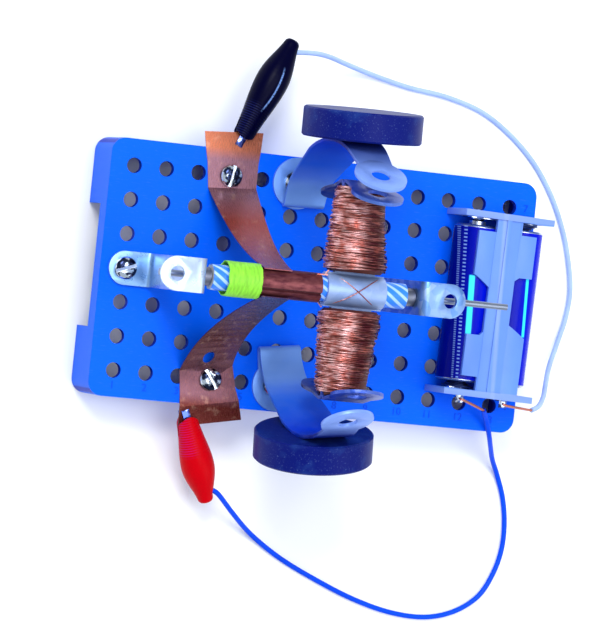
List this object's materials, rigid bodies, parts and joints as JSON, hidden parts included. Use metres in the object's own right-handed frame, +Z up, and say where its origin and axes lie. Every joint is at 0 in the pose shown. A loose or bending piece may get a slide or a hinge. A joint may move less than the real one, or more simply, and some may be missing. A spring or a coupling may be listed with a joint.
{
  "type": "demonstration electric motor",
  "caption": "Two-pole demonstration motor: steel strip rotor with copper coils on a wire axle between disc magnets, on a perforated board with a cell holder.",
  "frame": {"origin": "axis of the middle hole of the board, at the board's top face", "axes": "+X along the axle towards the cell holder, +Y towards the rear magnet, +Z up"},
  "size_m": [0.1656, 0.1779, 0.0879],
  "materials": {
    "board_plastic": "vivid blue moulded plastic",
    "zinc_steel": "bright zinc-coated steel strip",
    "strap_steel": "bright steel strip",
    "core_steel": "bright steel strip",
    "screw_steel": "bright plated steel",
    "wire_steel": "straightened steel wire",
    "bush_metal": "dull steel",
    "straw_plastic": "white straw with slanted blue stripes",
    "plug_plastic": "pale filler",
    "winding_copper": "enamelled copper winding",
    "foil_copper": "copper sheet",
    "tape_green": "light green tape",
    "ferrite": "dark ferrite",
    "holder_plastic": "frosted translucent plastic",
    "cell_steel": "bright plated steel",
    "wrapper_film": "printed blue film",
    "contact_metal": "tinned brass",
    "spring_steel": "spring steel wire",
    "white_insulation": "white insulation",
    "blue_insulation": "blue insulation",
    "bare_copper": "bare tinned strands",
    "black_rubber": "navy-black soft plastic",
    "red_rubber": "red soft plastic"
  },
  "bodies": {
    "motor_base": {"base_board": "board_plastic", "left_bearing_bracket": "zinc_steel", "right_bearing_bracket": "zinc_steel", "left_bush": "bush_metal", "right_bush": "bush_metal", "bearing_screws": "screw_steel", "bearing_nuts": "screw_steel", "rear_magnet_strap": "strap_steel", "front_magnet_strap": "strap_steel", "strap_screws": "screw_steel", "strap_nuts": "screw_steel", "rear_magnet": "ferrite", "front_magnet": "ferrite", "rear_brush": "foil_copper", "front_brush": "foil_copper", "brush_screws": "screw_steel", "brush_nuts": "screw_steel", "cell_holder": "holder_plastic", "left_cell": "cell_steel", "right_cell": "cell_steel", "left_wrapper": "wrapper_film", "right_wrapper": "wrapper_film", "link_contact": "contact_metal", "positive_contact": "contact_metal", "negative_contact": "contact_metal", "contact_rivets": "contact_metal", "contact_springs": "spring_steel", "white_lead": "white_insulation", "blue_lead": "blue_insulation", "bare_lead_ends": "bare_copper", "black_lower_jaw": "contact_metal", "black_pivot_pin": "contact_metal", "black_jaw_spring": "spring_steel", "black_boot": "black_rubber", "red_lower_jaw": "contact_metal", "red_pivot_pin": "contact_metal", "red_jaw_spring": "spring_steel", "red_boot": "red_rubber"},
    "rotor": {"axle": "wire_steel", "straw_sleeve": "straw_plastic", "sleeve_plugs": "plug_plastic", "core_upper": "core_steel", "core_lower": "core_steel", "rear_coil": "winding_copper", "front_coil": "winding_copper", "commutator_rear": "foil_copper", "commutator_front": "foil_copper", "insulating_tape": "tape_green", "coil_leads": "winding_copper", "crossover_wires": "winding_copper"},
    "black_jaw": {"black_upper_jaw": "contact_metal"},
    "red_jaw": {"red_upper_jaw": "contact_metal"}
  },
  "joints": [
    {"name": "rotor_spin", "type": "hinge", "parent": "motor_base", "child": "rotor", "pos_m": [-0.0043, 0, 0.043], "axis": [1, 0, 0], "continuous": true},
    {"name": "black_jaw_open", "type": "hinge", "parent": "motor_base", "child": "black_jaw", "pos_m": [-0.02433, 0.05479, 0.00015], "axis": [-0.9184, 0.3955, 0], "range_deg": [0, 6], "stiffness_Nm_per_rad": 0.05, "springref_deg": -17.19, "deforming": ["black_jaw_spring"]},
    {"name": "red_jaw_open", "type": "hinge", "parent": "motor_base", "child": "red_jaw", "pos_m": [-0.03312, -0.0553, -0.00143], "axis": [0.9229, 0.3839, 0.0294], "range_deg": [0, 6], "stiffness_Nm_per_rad": 0.05, "springref_deg": -17.19, "deforming": ["red_jaw_spring"]}
  ]
}
